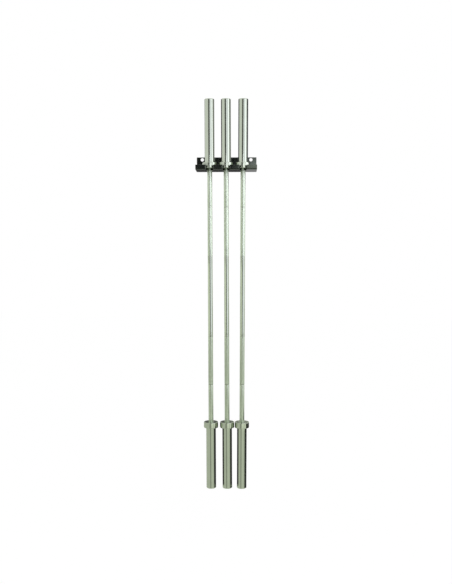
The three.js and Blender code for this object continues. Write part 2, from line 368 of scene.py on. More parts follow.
# %% Black powder coat
COAT_BLACK = (0.0038, 0.0046, 0.0043, 1.0)
COAT_WORN_IN = (0.0085, 0.0097, 0.0090, 1.0)
COAT_SHEEN = (0.86, 1.0, 0.80, 1.0)
BARE_STEEL = (0.30, 0.30, 0.29, 1.0)
DUST_GREY = (0.16, 0.16, 0.15, 1.0)
COAT_ROUGHNESS = 0.07
PEEL_DEPTH = 0.000008

powder_coat, tree, surface = new_finish(
    "black_powder_coat", Specular_IOR_Level=0.95, Specular_Tint=COAT_SHEEN
)
grain = apply_effect(tree, peel, Hill_size=0.0017, Grain_size=0.0004)
wear = apply_effect(tree, rubbed, Reach=0.0016, Chip_size=0.007, Spread=0.42)["Wear"]
cover = apply_effect(tree, dust, Cloud_size=0.018)["Cover"]
coat = tint(tree, grain["Tone"], COAT_BLACK, COAT_WORN_IN)
drive(
    tree,
    surface,
    Base_Color=layered(tree, coat, (wear, 0.55, BARE_STEEL), (cover, 0.16, DUST_GREY)),
    Metallic=reckon(tree, "MULTIPLY", wear, 0.5),
    Roughness=weighted_sum(tree, COAT_ROUGHNESS, (grain["Tone"], 0.04), (cover, 0.25)),
    Normal=embossed(tree, grain["Height"], PEEL_DEPTH),
)
print("black powder coat: orange peel", PEEL_DEPTH / MM, "mm deep")

# %% [markdown]
# ### Pad plastic
#
# The pads under the collars are cut from black slippery plastic sheet. Its matt skin gets
# polished in a ring where the collars turn on it, so the roughness drops where scuffs run.

# %% Pad plastic
PAD_BLACK = (0.020, 0.021, 0.020, 1.0)
PAD_GREYED = (0.045, 0.046, 0.044, 1.0)
PAD_ROUGHNESS = 0.55
PAD_GRAIN_DEPTH = 0.00005

pad_plastic, tree, surface = new_finish("pad_plastic", Specular_IOR_Level=0.4)
grain = apply_effect(tree, peel, Hill_size=0.0009, Grain_size=0.0003)
scratch = apply_effect(tree, scuffs, Length=0.02, Width=0.001, Amount=0.6)["Scratch"]
cover = apply_effect(tree, dust, Cloud_size=0.012)["Cover"]
plastic = tint(tree, scratch, tint(tree, grain["Tone"], PAD_BLACK, PAD_GREYED), DUST_GREY)
drive(
    tree,
    surface,
    Base_Color=layered(tree, plastic, (cover, 0.15, DUST_GREY)),
    Roughness=weighted_sum(tree, PAD_ROUGHNESS, (scratch, -0.2)),
    Normal=embossed(tree, grain["Height"], PAD_GRAIN_DEPTH),
)
print("pad plastic: grain", PAD_GRAIN_DEPTH / MM, "mm deep")

# %% [markdown]
# ### Sleeve chrome
#
# The sleeves are bright chrome, which mirrors the room in crisp upright bands. Chrome has no
# colour of its own apart from a slight cool cast; in the photograph it leans a little to green.
# The base colour is only how much of the light comes back, so a darker value also makes the
# mirror image darker. Scratches and turning lines are shallow: deep ones would blur the bands.

# %% Sleeve chrome
CHROME_CLEAN = (0.500, 0.550, 0.450, 1.0)
CHROME_DULL = (0.460, 0.505, 0.415, 1.0)
MIRROR_ROUGHNESS = 0.065
SLEEVE_RELIEF = 0.0000006

sleeve_chrome, tree, surface = new_finish("sleeve_chrome", Metallic=1.0)
lines = apply_effect(tree, lathe, Line_spacing=0.0009)
haze = lines["Haze"]
scratch = apply_effect(tree, scuffs, Length=0.06, Width=0.0009, Amount=0.52)["Scratch"]
cover = apply_effect(tree, dust, Cloud_size=0.01)["Cover"]
layers = [(haze, 0.5, CHROME_DULL), (scratch, 0.35, CHROME_DULL), (cover, 0.10, DUST_GREY)]
drive(
    tree,
    surface,
    Base_Color=layered(tree, CHROME_CLEAN, *layers),
    Roughness=weighted_sum(tree, MIRROR_ROUGHNESS, (haze, 0.035), (scratch, 0.12), (cover, 0.15)),
    Normal=embossed(tree, weighted_sum(tree, lines["Height"], (scratch, -0.6)), SLEEVE_RELIEF),
)
print("sleeve chrome: roughness", MIRROR_ROUGHNESS, "where it is clean")

# %% [markdown]
# ### Shaft chrome
#
# The shaft has two finishes in one plating: a satin, knurled grip and a smooth middle. They
# could be two materials on two rows of faces, but the change is a matter of height along the
# bar, so one material reads that height and switches between them. The heights are those of
# the ring marks and of the smooth middle, measured down from the upper collar.

# %% Shaft chrome
GRIP_LENGTH = 1310.0
SMOOTH_MIDDLE = 420.0
MARK_FROM_COLLAR = 195.0
MARK_WIDTH = 5.0
CHROME_SATIN = (0.700, 0.790, 0.635, 1.0)
# The knurl's grooves get this darker grey, which is painted shade, because the pyramids are only a bump.
VALLEY_SHADE_GREY = (0.460, 0.515, 0.415, 1.0)
BAND_SOFTNESS = 0.0003
SMOOTH_ROUGHNESS = 0.12
KNURL_DEPTH = 0.00008
smooth_bands = [
    (-(GRIP_LENGTH + SMOOTH_MIDDLE) / 2, -(GRIP_LENGTH - SMOOTH_MIDDLE) / 2),
    (-MARK_FROM_COLLAR - MARK_WIDTH, -MARK_FROM_COLLAR),
    (-GRIP_LENGTH + MARK_FROM_COLLAR, -GRIP_LENGTH + MARK_FROM_COLLAR + MARK_WIDTH),
]

shaft_chrome, tree, surface = new_finish("shaft_chrome", Metallic=1.0)
along = wire(tree, "SeparateXYZ", {0: own_place(tree)}).outputs[2]
is_smooth = 0.0
for low, high in smooth_bands:
    middle, half = (low + high) / 2 * MM, (high - low) / 2 * MM
    away = reckon(tree, "ABSOLUTE", reckon(tree, "SUBTRACT", along, middle))
    inside = fade(tree, away, half + BAND_SOFTNESS, half - BAND_SOFTNESS)
    is_smooth = reckon(tree, "MAXIMUM", inside, is_smooth)
is_knurled = reckon(tree, "SUBTRACT", 1.0, is_smooth)
teeth = apply_effect(tree, knurl)
lines = apply_effect(tree, lathe, Line_spacing=0.0009)
scratch = apply_effect(tree, scuffs, Length=0.03, Width=0.001, Amount=0.5)["Scratch"]
smooth = layered(tree, CHROME_CLEAN, (lines["Haze"], 0.6, CHROME_DULL))
# Grip colour: painted shade in the knurl's grooves, satin chrome on its tips.
grip = tint(tree, fade(tree, teeth["Height"], 0.0, 0.55), VALLEY_SHADE_GREY, CHROME_SATIN)
tips = reckon(tree, "MULTIPLY", teeth["Tips"], is_knurled)
pyramids = reckon(tree, "MULTIPLY", teeth["Height"], is_knurled)
drive(
    tree,
    surface,
    Base_Color=tint(tree, is_knurled, smooth, grip),
    Roughness=weighted_sum(tree, SMOOTH_ROUGHNESS, (is_knurled, 0.20), (tips, -0.10), (scratch, 0.10)),
    Normal=embossed(tree, weighted_sum(tree, pyramids, (lines["Height"], 0.01)), KNURL_DEPTH),
)
print("shaft chrome ready; smooth bands (mm):", smooth_bands)

# %% [markdown]
# ### Bushing bronze and spring steel
#
# Inside each sleeve sit two oiled bronze bushings, a thrust washer and a retaining ring. They
# only show when a bar is taken apart, but a part that is opened should look finished too.

# %% Bushing bronze and spring steel
INNER_RELIEF = 0.000004


def inner_metal(name, clean, dull, roughness):
    """A turned metal with haze and rings, for what sits inside a sleeve."""
    material, tree, surface = new_finish(name, Metallic=1.0)
    lines = apply_effect(tree, lathe, Line_spacing=0.0007)
    scratch = apply_effect(tree, scuffs, Length=0.01, Width=0.0006, Amount=0.55)["Scratch"]
    drive(
        tree,
        surface,
        Base_Color=tint(tree, lines["Haze"], clean, dull),
        Roughness=weighted_sum(tree, roughness, (lines["Haze"], 0.12), (scratch, 0.1)),
        Normal=embossed(tree, lines["Height"], INNER_RELIEF),
    )
    print(name, "ready")
    return material


bushing_bronze = inner_metal("bushing_bronze", (0.52, 0.31, 0.13, 1.0), (0.30, 0.17, 0.07, 1.0), 0.26)
spring_steel = inner_metal("spring_steel", (0.20, 0.21, 0.22, 1.0), (0.09, 0.09, 0.10, 1.0), 0.34)

# %% [markdown]
# ## The rack's plate
#
# The bracket is one 6 mm plate. A shop cuts the flat outline with its slots and holes, then
# folds it twice: down the wall, forward as a shelf and up again as a lip. It could be carved
# out of a block here, but folding gives bends whose two skins stay the same distance apart, as
# in real plate. So the outline is drawn flat, scored across at the bends, and each flat point
# is then carried round them. The sizes in the flat are those of the measured model.

# %% Sizes of the plate
PLATE = 6.0
BEND = 1.5
BEND_STEPS = 8
SLOT_WIDTH = 35.0
SLOT_PITCH = 85.0
SLOT_STEPS = 24
BAR_SETBACK = 100.0
LIP_TOP = -39.75087
LIP_CORNER = 1.5
FLANGE_CORNER = 3.0
HOLE_ACROSS = 17.5
HOLE_SPACING = 254.0
HOLE_SIDES = 36

bracket_low, bracket_high = (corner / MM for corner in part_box("rack_bracket"))
rack_width = bracket_high.x - bracket_low.x
shelf_depth = bracket_high.y - bracket_low.y
flange_top = bracket_high.z
shelf_top = bracket_low.z + PLATE
print("plate %.1f wide, %.1f deep, shelf top at %.1f mm" % (rack_width, shelf_depth, shelf_top))

# %% [markdown]
# Where the plate is bent, its inner skin is squeezed and its outer skin stretched, and the
# middle keeps its length. So the length of flat that goes into a bend is measured at mid
# thickness, and a point's place on the fold follows from how far along that length it is.

# %% Carry a flat point round the bends
bend_length = (BEND + PLATE / 2) * math.pi / 2
flange_end = flange_top - shelf_top - BEND
shelf_start = flange_end + bend_length
shelf_end = shelf_start + shelf_depth - 2 * (BEND + PLATE)
lip_start = shelf_end + bend_length


def folded(across, along, depth):
    """A point of the flat, carried round the bends; depth runs from the inner skin outwards."""
    corner_z = shelf_top + BEND
    first_y = -(PLATE + BEND)
    second_y = -shelf_depth + PLATE + BEND
    if along <= flange_end:
        y, z = -PLATE + depth, flange_top - along
    elif along < shelf_start:
        angle = (along - flange_end) / bend_length * math.pi / 2
        y = first_y + (BEND + depth) * math.cos(angle)
        z = corner_z - (BEND + depth) * math.sin(angle)
    elif along <= shelf_end:
        y, z = first_y - (along - shelf_start), shelf_top - depth
    elif along < lip_start:
        angle = (along - shelf_end) / bend_length * math.pi / 2
        y = second_y - (BEND + depth) * math.sin(angle)
        z = corner_z - (BEND + depth) * math.cos(angle)
    else:
        y, z = -shelf_depth + PLATE - depth, corner_z + (along - lip_start)
    return Vector((across, y, z)) * MM


lip_end = lip_start + LIP_TOP - shelf_top - BEND
print("flat blank %.1f x %.1f mm" % (rack_width, lip_end))

# %% [markdown]
# An outline is a list of points with rounded corners. One helper rounds the corners of any list
# of points, for flat outlines and for lathe profiles alike. It can also leave a support point
# next to each rounding: Blender shades a face by the normals at its corners, and on a long
# chrome sleeve a rounding without support would bend the reflections all along it.

# %% Round the corners of an outline
NEARLY_HALF = 0.49


def rounded(corners, radius=0.0, steps=4, support=0.0, closed=True):
    """corners: (x, y) or (x, y, own radius). Returns the outline with each corner rounded."""
    points = []
    for index, corner in enumerate(corners):
        here = Vector(corner[:2])
        own = corner[2] if len(corner) > 2 else radius
        at_end = not closed and index in (0, len(corners) - 1)
        if own <= 0 or at_end:
            points.append(here)
            continue
        before = Vector(corners[index - 1][:2]) - here
        after = Vector(corners[(index + 1) % len(corners)][:2]) - here
        opening = before.angle(after)
        room = NEARLY_HALF * min(before.length, after.length)
        reach = min(own / math.tan(opening / 2), room)
        radius_here = reach * math.tan(opening / 2)
        back, forth = before.normalized(), after.normalized()
        centre = here + (back + forth).normalized() * (radius_here / math.sin(opening / 2))
        first, last = here + back * reach, here + forth * reach
        if support and reach + support < room:
            points.append(first + back * support)
        start, sweep = first - centre, (first - centre).angle_signed(last - centre)
        for step in range(steps + 1):
            turn = Matrix.Rotation(-sweep * step / steps, 2)
            points.append(centre + turn @ start)
        if support and reach + support < room:
            points.append(last + forth * support)
    return points


def on_circle(centre, radius, degrees):
    angle = math.radians(degrees)
    return Vector(centre) + Vector((math.cos(angle), math.sin(angle))) * radius


def arc(centre, radius, start, finish, steps):
    """Points along a part of a circle; the angles are in degrees."""
    return [on_circle(centre, radius, start + (finish - start) * k / steps) for k in range(steps + 1)]


def circle(centre, radius, sides):
    return arc(centre, radius, 0, 360 - 360 / sides, sides - 1)


print("a square with rounded corners has", len(rounded([(0, 0), (1, 0), (1, 1), (0, 1)], 0.1)), "points")

# %% [markdown]
# The blank's outline runs along the top of the flange, down one side, in and out of the three
# slots along the lip, and back up the other side. Each slot ends in a half circle round the
# place where a bar hangs.

# %% Outline of the blank
slot_end = shelf_start + BAR_SETBACK - (PLATE + BEND)
half_width = rack_width / 2
blank = [(-half_width, 0.0, FLANGE_CORNER), (half_width, 0.0, FLANGE_CORNER)]
blank.append((half_width, lip_end, LIP_CORNER))
for column in (1, 0, -1):
    slot_x = column * SLOT_PITCH
    blank.append((slot_x + SLOT_WIDTH / 2, lip_end, LIP_CORNER))
    blank += arc((slot_x, slot_end), SLOT_WIDTH / 2, 0, -180, SLOT_STEPS)
    blank.append((slot_x - SLOT_WIDTH / 2, lip_end, LIP_CORNER))
blank.append((-half_width, lip_end, LIP_CORNER))
blank_outline = rounded(blank, steps=6)
bolt_holes = [
    circle((side * HOLE_SPACING / 2, flange_top), HOLE_ACROSS / 2, HOLE_SIDES) for side in (-1, 1)
]
print("blank outline of", len(blank_outline), "points with", len(bolt_holes), "holes")

# %% [markdown]
# Filling an outline that has holes in it is what the triangle fill operator is for. Bisecting
# the filled sheet at each bend line scores it, so that it has points to fold along.

# %% Cut a flat sheet
WELD = 0.002


def cut_sheet(loops, score_lines=()):
    """A flat mesh of an outline and its holes, scored across at the given places."""
    flat = bmesh.new()
    for loop in loops:
        ring = [flat.verts.new((point.x, point.y, 0.0)) for point in loop]
        for a, b in zip(ring, ring[1:] + ring[:1]):
            flat.edges.new((a, b))
    bmesh.ops.triangle_fill(flat, use_beauty=True, edges=flat.edges[:])
    for line in score_lines:
        everything = flat.verts[:] + flat.edges[:] + flat.faces[:]
        bmesh.ops.bisect_plane(
            flat, geom=everything, dist=WELD / 2, plane_co=(0, line, 0), plane_no=(0, 1, 0)
        )
    return flat


def split_at(loop, score_lines):
    """The same outline with a point more wherever it crosses a score line."""
    points = []
    for here, there in zip(loop, loop[1:] + loop[:1]):
        points.append(here)
        low, high = sorted((here.y, there.y))
        crossed = sorted(line for line in score_lines if low + WELD < line < high - WELD)
        if there.y < here.y:
            crossed.reverse()
        points += [here.lerp(there, (line - here.y) / (there.y - here.y)) for line in crossed]
    return points


bend_lines = [
    start + bend_length * step / BEND_STEPS
    for start in (flange_end, shelf_end)
    for step in range(BEND_STEPS + 1)
]
print(len(bend_lines), "score lines for two bends")

# %% [markdown]
# No plate edge is sharp: the cut edge is broken with a file, and the coat rounds it further.
# A Bevel modifier can do that, but where a wide rounding runs into a narrow one at a small
# corner it folds over itself. So the rounding is drawn. The cut edge is a path from one skin to
# the other, and each point of the outline has a path of its own, so a wide rounding can fade
# into a narrow one. An inset moves a point into the plate, along the line that halves its corner.

# %% Draw a rounded cut edge
EDGE_STEPS = 5


def edge_path(inner, outer, thickness):
    """(inset, depth) of points round a cut edge, from the inner skin to the outer one."""
    turns = [math.pi / 2 * step / EDGE_STEPS for step in range(EDGE_STEPS + 1)]
    path = [(inner * (1 - math.sin(turn)), inner * (1 - math.cos(turn))) for turn in turns]
    path += [(outer * (1 - math.cos(turn)), thickness - outer * (1 - math.sin(turn))) for turn in turns]
    return path


def ways_in(loop, is_hole):
    """At each point of a loop the way into the plate, as long as an even inset of 1 needs."""
    following = loop[1:] + loop[:1]
    area = sum(a.x * b.y - a.y * b.x for a, b in zip(loop, following))
    side = 1.0 if (area > 0) != is_hole else -1.0
    ways = []
    for before, here, after in zip(loop[-1:] + loop[:-1], loop, following):
        first, second = (here - before).normalized(), (after - here).normalized()
        across = Vector((-first.y, first.x))
        way = (across + Vector((-second.y, second.x))).normalized()
        ways.append(way * side / way.dot(across))
    return ways


print("a 6 mm edge rounded 1 mm:", [(round(i, 2), round(d, 2)) for i, d in edge_path(1.0, 1.0, 6.0)][:3])

# %% [markdown]
# The plate is then three surfaces: the cut edge, drawn point by point, and the two skins, cut to
# the insets where that edge begins and ends. Welding joins them, and merging the triangles of
# each flat face keeps its shading flat. A closed plate has no edge with only one face.

# %% Give a sheet its thickness
FLAT_WITHIN = math.radians(0.3)


def thick_plate(loops, carried, thickness, inner, outer_of, score_lines=()):
    """A closed plate; carried puts a point of the flat, at a depth in the plate, in its place."""
    solid = bmesh.new()
    skins = ([], [])
    for number, loop in enumerate(loops):
        loop = split_at([Vector(point[:2]) for point in loop], score_lines)
        ways = ways_in(loop, is_hole=number > 0)
        paths = [edge_path(inner, outer_of(point), thickness) for point in loop]
        columns = [
            [solid.verts.new(carried(*(point + way * inset), depth)) for inset, depth in path]
            for point, way, path in zip(loop, ways, paths)
        ]
        for left, right in zip(columns, columns[1:] + columns[:1]):
            for k in range(len(left) - 1):
                solid.faces.new((left[k], right[k], right[k + 1], left[k + 1]))
        for skin, end in zip(skins, (0, -1)):
            skin.append([point + way * path[end][0] for point, way, path in zip(loop, ways, paths)])
    for skin, depth in zip(skins, (0.0, thickness)):
        flat = cut_sheet(skin, score_lines)
        copies = {v: solid.verts.new(carried(v.co.x, v.co.y, depth)) for v in flat.verts}
        for face in flat.faces:
            solid.faces.new([copies[v] for v in face.verts])
        flat.free()
    bmesh.ops.remove_doubles(solid, verts=solid.verts[:], dist=WELD * MM)
    bmesh.ops.recalc_face_normals(solid, faces=solid.faces[:])
    bmesh.ops.dissolve_limit(solid, angle_limit=FLAT_WITHIN, verts=[], edges=solid.edges[:])
    open_edges = sum(len(edge.link_faces) != 2 for edge in solid.edges)
    print("plate of", len(solid.faces), "faces,", open_edges, "open edges")
    return solid


def level_plate(loops, bottom, thickness, edge_round):
    """A plate lying level at a height, rounded alike along all its edges; all in mm."""

    def carried(across, along, depth):
        return Vector((across, along, bottom + depth)) * MM

    return thick_plate(loops, carried, thickness, edge_round, lambda point: edge_round)


print("plates can be made")

# %% [markdown]
# The upright ends of the lip's tabs are rounder than the other edges, because bars slide past
# them, and in the photograph those ends catch the light as a narrow grey line. That wide
# rounding starts in the bend and fades out again just below the tab's top corner.

# %% Fold the rack's plate
EDGE_ROUND = 1.0
TAB_END_ROUND = 4.6
SIDE_MARGIN = 10.0
FADE_LENGTH = 2.5
FADE_STEPS = 3


def bracket_round(point):
    """How far the outer side of the cut edge is rounded at a point of the flat, in mm."""
    above_bend = (point.y - shelf_end) / (lip_start - shelf_end)
    below_top = (lip_end - LIP_CORNER - point.y) / FADE_LENGTH
    share = max(0.0, min(1.0, above_bend, below_top))
    if abs(point.x) > half_width - SIDE_MARGIN:
        share = 0.0
    return EDGE_ROUND + (TAB_END_ROUND - EDGE_ROUND) * share


fade_steps = range(1, FADE_STEPS + 1)
fade_lines = [lip_end - LIP_CORNER - FADE_LENGTH * step / FADE_STEPS for step in fade_steps]
bracket_mesh = thick_plate(
    [blank_outline, *bolt_holes], folded, PLATE, EDGE_ROUND, bracket_round, bend_lines + fade_lines
)

# %% [markdown]
# A mesh only becomes a piece of the rack when it has a finish, a shading style and a body that
# it rides on. Each piece also names the measured node that it stands for, which is then hidden.

# %% Turn meshes into pieces
def put(name, mesh, finish):
    """Puts a mesh with its finish into the scene."""
    mesh.materials.append(finish)
    made = bpy.data.objects.new(name, mesh)
    bpy.context.scene.collection.objects.link(made)
    return made


def into_piece(name, mesh_in_progress, finish, body, node, place=None):
    """Makes a smooth-shaded piece, seats it on its body and hides the node it stands for."""
    mesh = bpy.data.meshes.new(name)
    mesh_in_progress.to_mesh(mesh)
    mesh_in_progress.free()
    mesh.shade_smooth()
    piece = put(name, mesh, finish)
    if place is not None:
        piece.matrix_world = place
    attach(piece, body)
    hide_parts(node)
    return piece


def even_shading(piece):
    """Lets large flat faces, not the small ones round their edges, set the normals they share."""
    even = piece.modifiers.new("flat_faces_stay_flat", "WEIGHTED_NORMAL")
    even.keep_sharp = True
    even.weight = 100


bracket = into_piece("bracket_plate", bracket_mesh, powder_coat, "rack", "rack_bracket")
even_shading(bracket)
print("bracket box:", [round(size / MM, 1) for size in bracket.dimensions])

# %% [markdown]
# ## The seat pads
#
# A plastic pad lies round each slot and keeps the chrome collars off the paint. Each is a U,
# cut from 3 mm sheet, so the same cutting and thickening make it, without the folding.

# %% Seat pads
PAD_CORNER = 6.0
PAD_MOUTH_CORNER = 1.5
PAD_EDGE_ROUND = 0.6

for side, name in zip((-1, 0, 1), ("left", "middle", "right")):
    node = "seat_liner_" + name
    low, high = (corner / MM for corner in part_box(node))
    slot_x = side * SLOT_PITCH
    outline = [
        (slot_x + SLOT_WIDTH / 2, low.y, PAD_MOUTH_CORNER),
        (high.x, low.y, PAD_CORNER),
        (high.x, high.y, PAD_CORNER),
        (low.x, high.y, PAD_CORNER),
        (low.x, low.y, PAD_CORNER),
        (slot_x - SLOT_WIDTH / 2, low.y, PAD_MOUTH_CORNER),
        *arc((slot_x, -BAR_SETBACK), SLOT_WIDTH / 2, 180, 0, SLOT_STEPS),
    ]
    pad_mesh = level_plate([rounded(outline, steps=6)], low.z, high.z - low.z, PAD_EDGE_ROUND)
    pad = into_piece("seat_pad_" + name, pad_mesh, pad_plastic, "rack", node)
    even_shading(pad)
    print(pad.name, [round(size / MM, 1) for size in pad.dimensions])

# %% [markdown]
# ## The bars, piece by piece
#
# Everything else is turned: its shape is one outline spun about the bar's axis. Blender has a
# Screw modifier for that, but spinning the outline by hand in mesh code gives clean closed
# caps and exactly the rings we ask for. Each piece is drawn upright with its collar's inner
# face at height zero, and is then stood on the bar by a matrix.

# %% Spin an outline on the lathe
SIDES = 96
ON_AXIS = 1e-6


def turned_mesh(profile, closed=True):
    """profile: (radius, height) points in mm; a point at radius 0 closes an end."""
    solid = bmesh.new()
    rings = []
    for radius, height in profile:
        turns = [2 * math.pi * k / SIDES for k in range(SIDES if radius > ON_AXIS else 1)]
        places = [(radius * math.cos(a) * MM, radius * math.sin(a) * MM, height * MM) for a in turns]
        rings.append([solid.verts.new(place) for place in places])
    following = rings[1:] + (rings[:1] if closed else [])
    for low, high in zip(rings, following):
        for near in range(SIDES):
            far = (near + 1) % SIDES
            corners = [low[near % len(low)], low[far % len(low)]]
            corners += [high[far % len(high)], high[near % len(high)]]
            solid.faces.new(list(dict.fromkeys(corners)))
    bmesh.ops.recalc_face_normals(solid, faces=solid.faces[:])
    return solid


def joint_line(name):
    """A point on a joint's axis, and the way the axis points."""
    joint = next(j for j in frame["joints"] if j["name"] == name)
    return Vector(joint["pos_m"]), Vector(joint["axis"])


def stood_on(joint_name, outward):
    """The matrix that stands a piece on a bar end: at the joint, along or against its axis."""
    place, axis = joint_line(joint_name)
    up = axis.normalized() * outward
    side = (Vector((1, 0, 0)) - up * up.x).normalized()
    turn = Matrix((side, up.cross(side), up)).transposed().to_4x4()
    return Matrix.Translation(place) @ turn


for name in ("left", "middle", "right"):
    lean = stood_on(f"bar_{name}_upper_sleeve_spin", 1).to_3x3() @ Vector((0, 0, 1))
    print(name, "bar leans", round(math.degrees(math.asin(lean.x)), 3), "degrees")

# %% [markdown]
# ### Sizes shared by the turned pieces
#
# These are the sizes of a women's competition bar, and the same ones that the measured model
# has: a 25 mm shaft, 50 mm sleeves and 1310 mm between the collars.

# %% Sizes of a bar
SHAFT_RADIUS = 12.5
JOURNAL_RADIUS = 11.0
SLEEVE_RADIUS = 25.0
BORE_RADIUS = 15.5
COLLAR_RADIUS = 37.0
COLLAR_WIDTH = 30.0
COLLAR_WEB = 4.0
COLLAR_HOLE = 13.2
END_LENGTH = 350.0
CAP_RADIUS = 19.5
CAP_BOTTOM = 344.5
CAP_THICKNESS = 5.0
RUNNING_GAP = 0.3
JOURNAL_END = 340.2
RING_MIDDLE = 336.65
RING_THICKNESS = 1.5
SUPPORT = 0.5
print("bar length", GRIP_LENGTH + 2 * END_LENGTH, "mm")

# %% [markdown]
# ### Shaft
#
# One profile runs from one hidden end to the other: a journal that the bushings ride on, a
# shoulder, the grip with its two shallow ring marks, and the same again at the other end. The
# marks are turned below the knurling, so they are real grooves here. Each corner of a profile is
# a radius, a height and, where its edge is broken, the rounding that it gets.

# %% Shaft profile
MARK_DEPTH = 0.4
MARK_SLOPE = 0.3
MARK_ROUND = 0.15
GROOVE_DEPTH = 1.0
GROOVE_HALF_WIDTH = 1.05
GROOVE_ROUND = 0.1
JOURNAL_CHAMFER = 1.0

shoulder = COLLAR_WEB + RUNNING_GAP
groove = JOURNAL_RADIUS - GROOVE_DEPTH
upper = [
    (SHAFT_RADIUS, shoulder, 0.4),
    (JOURNAL_RADIUS, shoulder, 0.3),
    (JOURNAL_RADIUS, RING_MIDDLE - GROOVE_HALF_WIDTH, GROOVE_ROUND),
    (groove, RING_MIDDLE - GROOVE_HALF_WIDTH, GROOVE_ROUND),
    (groove, RING_MIDDLE + GROOVE_HALF_WIDTH, GROOVE_ROUND),
    (JOURNAL_RADIUS, RING_MIDDLE + GROOVE_HALF_WIDTH, GROOVE_ROUND),
    (JOURNAL_RADIUS, JOURNAL_END - JOURNAL_CHAMFER, 0.2),
    (JOURNAL_RADIUS - JOURNAL_CHAMFER, JOURNAL_END, 0.2),
    (0.0, JOURNAL_END),
]
lower = [(radius, -GRIP_LENGTH - height, *own) for radius, height, *own in reversed(upper)]
ring_marks = []
for lower_edge in (-GRIP_LENGTH + MARK_FROM_COLLAR, -MARK_FROM_COLLAR - MARK_WIDTH):
    ring_marks += [
        (SHAFT_RADIUS, lower_edge, MARK_ROUND),
        (SHAFT_RADIUS - MARK_DEPTH, lower_edge + MARK_SLOPE, MARK_ROUND),
        (SHAFT_RADIUS - MARK_DEPTH, lower_edge + MARK_WIDTH - MARK_SLOPE, MARK_ROUND),
        (SHAFT_RADIUS, lower_edge + MARK_WIDTH, MARK_ROUND),
    ]
shaft_profile = rounded(lower + ring_marks + upper, steps=3, support=SUPPORT, closed=False)
print("shaft profile of", len(shaft_profile), "points")

# %% [markdown]
# ### Sleeve, collar and end cap
#
# The sleeve is a tube with a stepped mouth for the cap. The collar is a ring that is pressed
# over the sleeve's foot; its thin web carries the bar on the pad. The cap is a plain turned
# disc, slightly sunk, with a shallow ring and a centre mark from the lathe.

# %% Sleeve, collar and cap profiles
SLEEVE_CHAMFER = 2.6
COLLAR_ROUND = 2.5
CIRCLE_OUTER = 16.9
CIRCLE_INNER = 14.9
CIRCLE_DEPTH = 0.5

foot = COLLAR_WEB + RUNNING_GAP
recess = CAP_RADIUS + RUNNING_GAP
cap_seat = CAP_BOTTOM - RUNNING_GAP
sleeve_corners = [
    (BORE_RADIUS, foot, 0.3),
    (SLEEVE_RADIUS, foot, 0.3),
    (SLEEVE_RADIUS, END_LENGTH - SLEEVE_CHAMFER, 2.0),
    (SLEEVE_RADIUS - SLEEVE_CHAMFER, END_LENGTH, 0.8),
    (recess, END_LENGTH, 0.35),
    (recess, cap_seat, 0.15),
    (BORE_RADIUS, cap_seat, 0.3),
]
collar_bore = SLEEVE_RADIUS + RUNNING_GAP
collar_corners = [
    (COLLAR_HOLE, 0.0, 0.6),
    (COLLAR_RADIUS, 0.0, COLLAR_ROUND),
    (COLLAR_RADIUS, COLLAR_WIDTH, COLLAR_ROUND),
    (collar_bore, COLLAR_WIDTH, 0.4),
    (collar_bore, COLLAR_WEB, 0.2),
    (COLLAR_HOLE, COLLAR_WEB, 0.3),
]
cap_top = CAP_BOTTOM + CAP_THICKNESS
cap_corners = [
    (0.0, CAP_BOTTOM),
    (CAP_RADIUS, CAP_BOTTOM, 0.3),
    (CAP_RADIUS, cap_top, 0.8),
    (CIRCLE_OUTER, cap_top, 0.3),
    (CIRCLE_OUTER - CIRCLE_DEPTH, cap_top - CIRCLE_DEPTH, 0.2),
    (CIRCLE_INNER + CIRCLE_DEPTH, cap_top - CIRCLE_DEPTH, 0.2),
    (CIRCLE_INNER, cap_top, 0.3),
    (1.6, cap_top, 0.2),
    (0.9, cap_top - 0.7, 0.2),
    (0.0, cap_top - 0.9),
]
sleeve_profile = rounded(sleeve_corners, steps=5, support=SUPPORT)
collar_profile = rounded(collar_corners, steps=5, support=SUPPORT)
cap_profile = rounded(cap_corners, steps=3, support=0.2, closed=False)
print("profiles:", len(sleeve_profile), len(collar_profile), len(cap_profile), "points")

# %% [markdown]
# ### Bushings and washer
#
# A bushing is a plain bronze tube with broken edges and an oil groove turned inside it, which
# feeds the journal. The washer is a flat steel ring. Both are small closed profiles.

# %% Bushing and washer profiles
BUSHING_LENGTH = 40.0
WASHER_THICKNESS = 2.0
OIL_GROOVE_DEPTH = 0.8
OIL_GROOVE_MOUTH = 1.5
OIL_GROOVE_FLOOR = 0.7

bearing = JOURNAL_RADIUS + RUNNING_GAP
seat_radius = BORE_RADIUS - RUNNING_GAP
washer_top = RING_MIDDLE - RING_THICKNESS / 2 - RUNNING_GAP
washer_bottom = washer_top - WASHER_THICKNESS
inner_bushing_bottom = COLLAR_WEB + 2 * RUNNING_GAP
outer_bushing_bottom = washer_bottom - RUNNING_GAP - BUSHING_LENGTH


def bushing_profile(bottom):
    middle, top = bottom + BUSHING_LENGTH / 2, bottom + BUSHING_LENGTH
    oil_groove = bearing + OIL_GROOVE_DEPTH
    corners = [
        (bearing, bottom, 0.6),
        (seat_radius, bottom, 0.5),
        (seat_radius, top, 0.5),
        (bearing, top, 0.6),
        (bearing, middle + OIL_GROOVE_MOUTH, 0.4),
        (oil_groove, middle + OIL_GROOVE_FLOOR, 0.4),
        (oil_groove, middle - OIL_GROOVE_FLOOR, 0.4),
        (bearing, middle - OIL_GROOVE_MOUTH, 0.4),
    ]
    return rounded(corners, steps=3, support=SUPPORT)


washer_corners = [(bearing, washer_bottom), (seat_radius, washer_bottom)]
washer_corners += [(seat_radius, washer_top), (bearing, washer_top)]
washer_profile = rounded(washer_corners, 0.25, steps=2, support=0.2)
print("washer from", round(washer_bottom, 2), "to", round(washer_top, 2), "mm")

# %% [markdown]
# ### Retaining ring
#
# The ring that holds a sleeve on the shaft is an open spring ring. It is stamped from sheet, so
# it is thickest opposite the gap, and it has a lug with a hole at each end for the pliers that
# spread it. Being stamped, it is cut from the flat like the pads.

